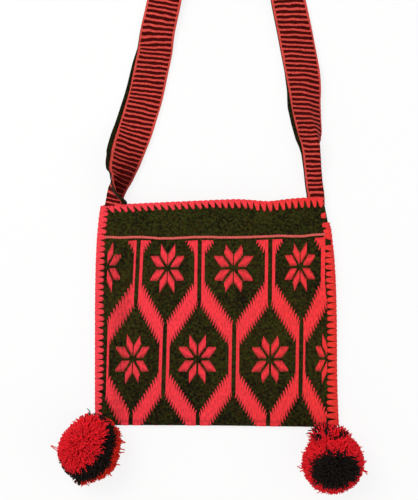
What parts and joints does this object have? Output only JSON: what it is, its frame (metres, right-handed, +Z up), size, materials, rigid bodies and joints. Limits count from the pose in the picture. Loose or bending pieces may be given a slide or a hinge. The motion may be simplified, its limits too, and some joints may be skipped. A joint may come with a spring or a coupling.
{
  "type": "woven shoulder bag",
  "caption": "Flat woven wool shoulder bag with a brocade of stars and hexagons, yarn-stitched edges, a striped strap and a yarn pompom at each bottom corner.",
  "frame": {"origin": "middle of the bag's back, on the flat face that it rests on", "axes": "+X across the bag to the right seen from the front, +Y towards the mouth and the strap, +Z up out of the front"},
  "size_m": [0.3365, 0.6713, 0.0664],
  "materials": {
    "ground_wool": "matt dark olive wool",
    "brocade_yarn": "matt red wool pattern yarn",
    "edging_yarn": "matt light red wool yarn",
    "strap_wool": "matt dark brown wool",
    "strap_stripe_yarn": "matt red wool yarn",
    "pompom_red": "cut red yarn",
    "pompom_black": "cut black yarn"
  },
  "bodies": {
    "bag": {"bag_cloth": "ground_wool", "hem_cord": "brocade_yarn", "side_edging_left": "edging_yarn", "side_edging_right": "edging_yarn", "mouth_edging_front": "edging_yarn", "mouth_edging_back": "edging_yarn", "brocade_band_1": "brocade_yarn", "brocade_band_2": "brocade_yarn", "brocade_band_3": "brocade_yarn", "brocade_band_4": "brocade_yarn", "brocade_band_5": "brocade_yarn", "brocade_band_6": "brocade_yarn", "brocade_band_7": "brocade_yarn", "brocade_star_1_1": "brocade_yarn", "brocade_star_2_2": "brocade_yarn", "brocade_star_1_3": "brocade_yarn", "brocade_star_2_4": "brocade_yarn", "brocade_star_1_5": "brocade_yarn", "brocade_star_2_6": "brocade_yarn", "brocade_star_1_7": "brocade_yarn", "brocade_star_2_8": "brocade_yarn", "strap_band": "strap_wool", "strap_stripes": "strap_stripe_yarn", "strap_lining": "ground_wool"},
    "left_pompom": {"pompom_left_cap": "pompom_red", "pompom_left_ring": "pompom_black", "pompom_left_rim": "pompom_red", "pompom_tie_left": "pompom_red"},
    "right_pompom": {"pompom_right_cap": "pompom_black", "pompom_right_rim": "pompom_red", "pompom_tie_right": "pompom_red"}
  },
  "joints": [
    {"name": "left_pompom_swing", "type": "hinge", "parent": "bag", "child": "left_pompom", "pos_m": [-0.1304, -0.1237, 0.01], "axis": [0, 0, 1], "range_deg": [-45, 40]},
    {"name": "right_pompom_swing", "type": "hinge", "parent": "bag", "child": "right_pompom", "pos_m": [0.1292, -0.1242, 0.0095], "axis": [0, 0, 1], "range_deg": [-45, 60]}
  ]
}
